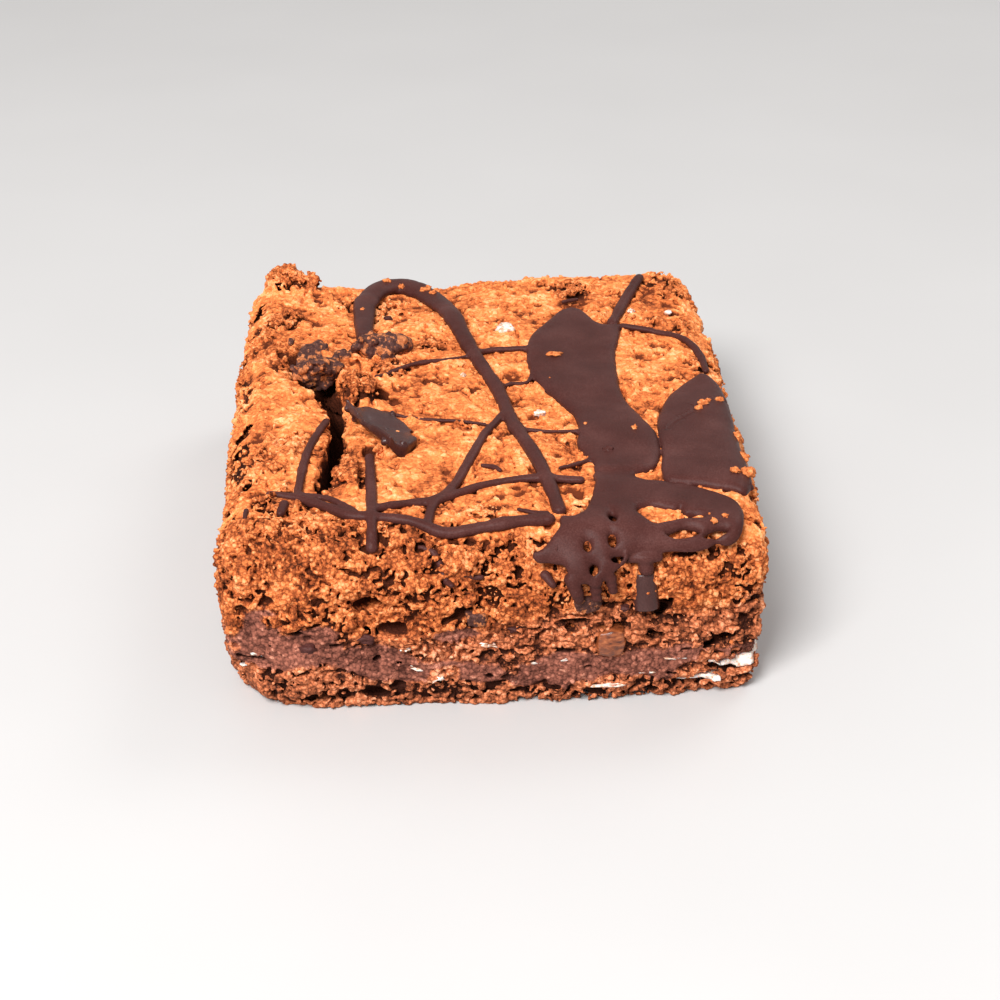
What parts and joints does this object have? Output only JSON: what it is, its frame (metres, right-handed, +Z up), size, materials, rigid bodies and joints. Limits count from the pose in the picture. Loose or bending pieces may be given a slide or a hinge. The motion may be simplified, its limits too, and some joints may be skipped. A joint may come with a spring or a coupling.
{
  "type": "smores brownie",
  "caption": "Cut square of baked brownie in crumb and fudge layers with marshmallow seams, a cracked crust, chocolate drizzle and set chocolate pools.",
  "frame": {"origin": "centre of the footprint on the surface that the square lies on", "axes": "+X right along the cut front face, +Y from the front face to the back, +Z up through the crust"},
  "size_m": [0.0814, 0.0996, 0.0304],
  "materials": {
    "crumb": "baked orange-brown crumb with a thin matt crust",
    "fudge": "dense dark fudge, slightly waxy",
    "base": "fine brown crumb",
    "marshmallow": "soft white marshmallow",
    "chocolate": "set dark chocolate with a satin skin",
    "chunk": "broken chocolate dusted with crumb",
    "toffee": "baked toffee"
  },
  "bodies": {
    "root": {"cake_top": "crumb", "fudge_layer": "fudge", "base_crumb": "base", "marshmallow_ribbon_high": "marshmallow", "marshmallow_ribbon_low": "marshmallow", "chocolate_pool_back": "chocolate", "chocolate_pool_right": "chocolate", "chocolate_pool_front": "chocolate", "chocolate_chunk_left": "chunk", "chocolate_chunk_right": "chunk", "chocolate_shard": "chocolate", "chocolate_stub": "chocolate", "chocolate_chip_left": "chunk", "chocolate_chip_right": "chunk", "toffee_chip": "toffee"}
  },
  "joints": []
}
